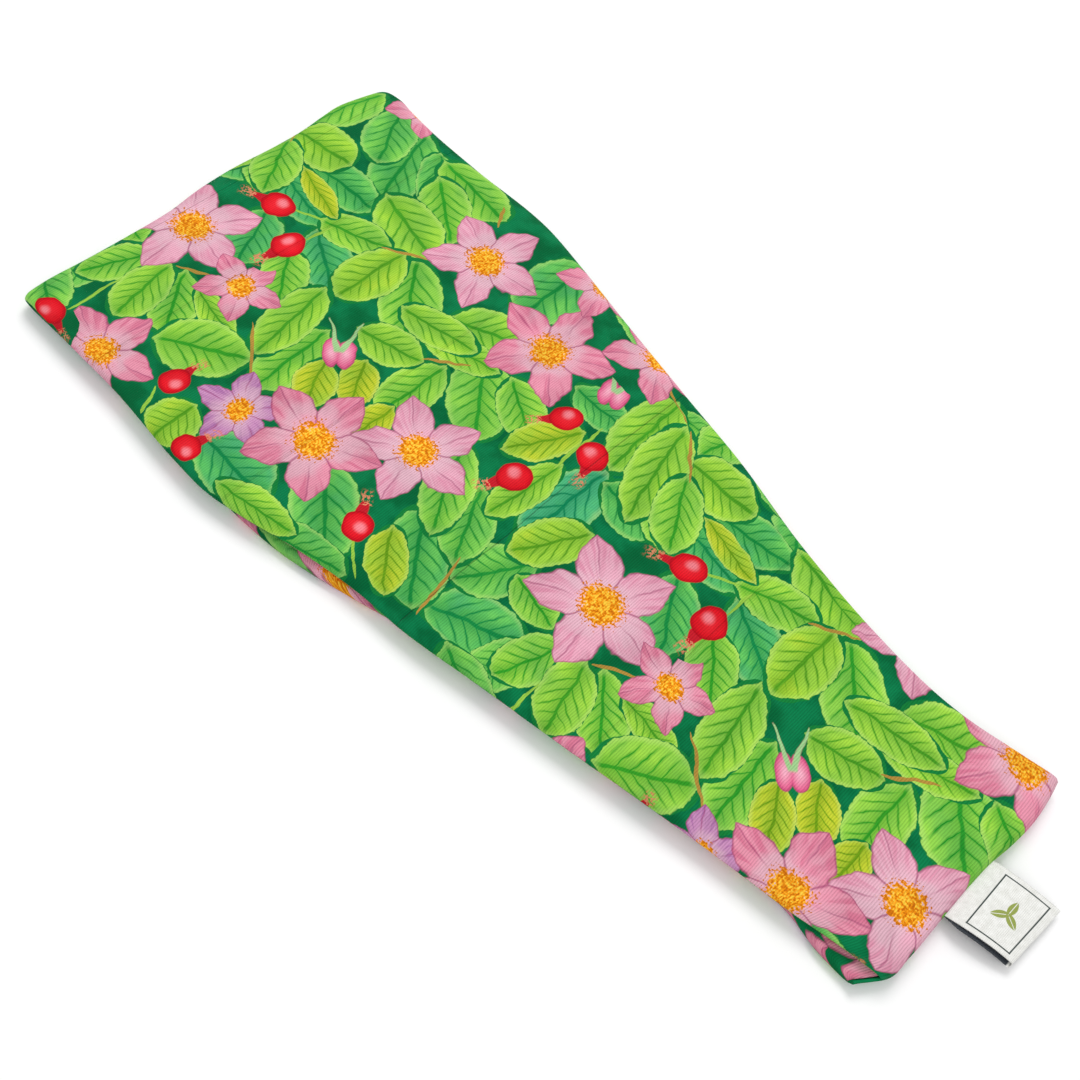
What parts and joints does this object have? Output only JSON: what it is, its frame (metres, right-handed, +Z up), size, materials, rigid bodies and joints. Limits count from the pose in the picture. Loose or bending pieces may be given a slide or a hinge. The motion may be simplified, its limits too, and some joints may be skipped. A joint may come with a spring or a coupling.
{
  "type": "wide fabric headband",
  "caption": "Wide tapered headband of doubled stretch knit, folded flat at the front, with a folded woven label in the back seam.",
  "frame": {"origin": "on the surface the band rests on, under the middle of the lower centre link (the band's mid-length, front fold to seam)", "axes": "+X from the front fold to the back seam and its label, +Y across the band, +Z up out of the resting surface"},
  "size_m": [0.2724, 0.124, 0.006],
  "materials": {
    "outer_fabric": "matte printed jersey, rose and leaf print on a deep green ground",
    "lining_fabric": "matte printed jersey, the same print as the outside",
    "thread": "spun polyester thread, deep green",
    "label_ribbon": "woven white ribbon with a satin sheen and fine ribs"
  },
  "bodies": {
    "lower_link_1": {"lower_outer_panel_1": "outer_fabric", "lower_lining_1": "lining_fabric", "lower_edge_thread_1": "thread"},
    "lower_link_2": {"lower_outer_panel_2": "outer_fabric", "lower_lining_2": "lining_fabric", "lower_edge_thread_2": "thread"},
    "lower_link_3": {"lower_outer_panel_3": "outer_fabric", "lower_lining_3": "lining_fabric", "lower_edge_thread_3": "thread"},
    "lower_link_4": {"lower_outer_panel_4": "outer_fabric", "lower_lining_4": "lining_fabric", "lower_edge_thread_4": "thread"},
    "lower_link_5": {"lower_outer_panel_5": "outer_fabric", "lower_lining_5": "lining_fabric", "lower_edge_thread_5": "thread"},
    "upper_link_1": {"upper_outer_panel_1": "outer_fabric", "upper_lining_1": "lining_fabric", "upper_edge_thread_1": "thread"},
    "upper_link_2": {"upper_outer_panel_2": "outer_fabric", "upper_lining_2": "lining_fabric", "upper_edge_thread_2": "thread"},
    "upper_link_3": {"upper_outer_panel_3": "outer_fabric", "upper_lining_3": "lining_fabric", "upper_edge_thread_3": "thread"},
    "upper_link_4": {"upper_outer_panel_4": "outer_fabric", "upper_lining_4": "lining_fabric", "upper_edge_thread_4": "thread"},
    "upper_link_5": {"upper_outer_panel_5": "outer_fabric", "upper_lining_5": "lining_fabric", "upper_edge_thread_5": "thread"},
    "front_fold": {"front_fold_outer": "outer_fabric", "front_fold_lining": "lining_fabric"},
    "back_seam": {"upper_seam_allowance": "lining_fabric", "lower_seam_allowance": "lining_fabric", "overlock_thread": "thread", "label_tail": "label_ribbon"},
    "label": {"label": "label_ribbon"}
  },
  "joints": [
    {"name": "lower_bend_2", "type": "hinge", "parent": "lower_link_3", "child": "lower_link_2", "pos_m": [-0.02408, 0, 0.0028], "axis": [0, 1, 0], "range_deg": [0, 36]},
    {"name": "lower_bend_1", "type": "hinge", "parent": "lower_link_2", "child": "lower_link_1", "pos_m": [-0.07444, 0, 0.0028], "axis": [0, 1, 0], "range_deg": [0, 36]},
    {"name": "front_unfold", "type": "hinge", "parent": "lower_link_1", "child": "upper_link_1", "pos_m": [-0.1248, 0, 0.003], "axis": [0, -1, 0], "range_deg": [0, 144]},
    {"name": "front_roll_turn", "type": "hinge", "parent": "lower_link_1", "child": "front_fold", "pos_m": [-0.1248, 0, 0.003], "axis": [0, -1, 0], "range_deg": [0, 72]},
    {"name": "upper_bend_1", "type": "hinge", "parent": "upper_link_1", "child": "upper_link_2", "pos_m": [-0.07444, 0, 0.0032], "axis": [0, 1, 0], "range_deg": [0, 36]},
    {"name": "upper_bend_2", "type": "hinge", "parent": "upper_link_2", "child": "upper_link_3", "pos_m": [-0.02408, 0, 0.0032], "axis": [0, 1, 0], "range_deg": [0, 36]},
    {"name": "upper_bend_3", "type": "hinge", "parent": "upper_link_3", "child": "upper_link_4", "pos_m": [0.02628, 0, 0.0032], "axis": [0, 1, 0], "range_deg": [0, 36]},
    {"name": "upper_bend_4", "type": "hinge", "parent": "upper_link_4", "child": "upper_link_5", "pos_m": [0.07664, 0, 0.0032], "axis": [0, 1, 0], "range_deg": [0, 36]},
    {"name": "back_unfold", "type": "hinge", "parent": "upper_link_5", "child": "back_seam", "pos_m": [0.127, 0, 0.003], "axis": [0, -1, 0], "range_deg": [0, 72]},
    {"name": "label_flip", "type": "hinge", "parent": "back_seam", "child": "label", "pos_m": [0.1302, 0, 0.003], "axis": [0, -1, 0], "range_deg": [-10, 90]},
    {"name": "lower_bend_3", "type": "hinge", "parent": "lower_link_3", "child": "lower_link_4", "pos_m": [0.02628, 0, 0.0028], "axis": [0, -1, 0], "range_deg": [0, 36]},
    {"name": "lower_bend_4", "type": "hinge", "parent": "lower_link_4", "child": "lower_link_5", "pos_m": [0.07664, 0, 0.0028], "axis": [0, -1, 0], "range_deg": [0, 36]}
  ],
  "couplings": [
    {"joint": "lower_bend_1", "follows": "lower_bend_2", "ratio": 1},
    {"joint": "front_unfold", "follows": "lower_bend_2", "ratio": 4},
    {"joint": "front_roll_turn", "follows": "lower_bend_2", "ratio": 2},
    {"joint": "upper_bend_1", "follows": "lower_bend_2", "ratio": 1},
    {"joint": "upper_bend_2", "follows": "lower_bend_2", "ratio": 1},
    {"joint": "upper_bend_3", "follows": "lower_bend_2", "ratio": 1},
    {"joint": "upper_bend_4", "follows": "lower_bend_2", "ratio": 1},
    {"joint": "back_unfold", "follows": "lower_bend_2", "ratio": 2},
    {"joint": "lower_bend_3", "follows": "lower_bend_2", "ratio": 1},
    {"joint": "lower_bend_4", "follows": "lower_bend_2", "ratio": 1}
  ]
}
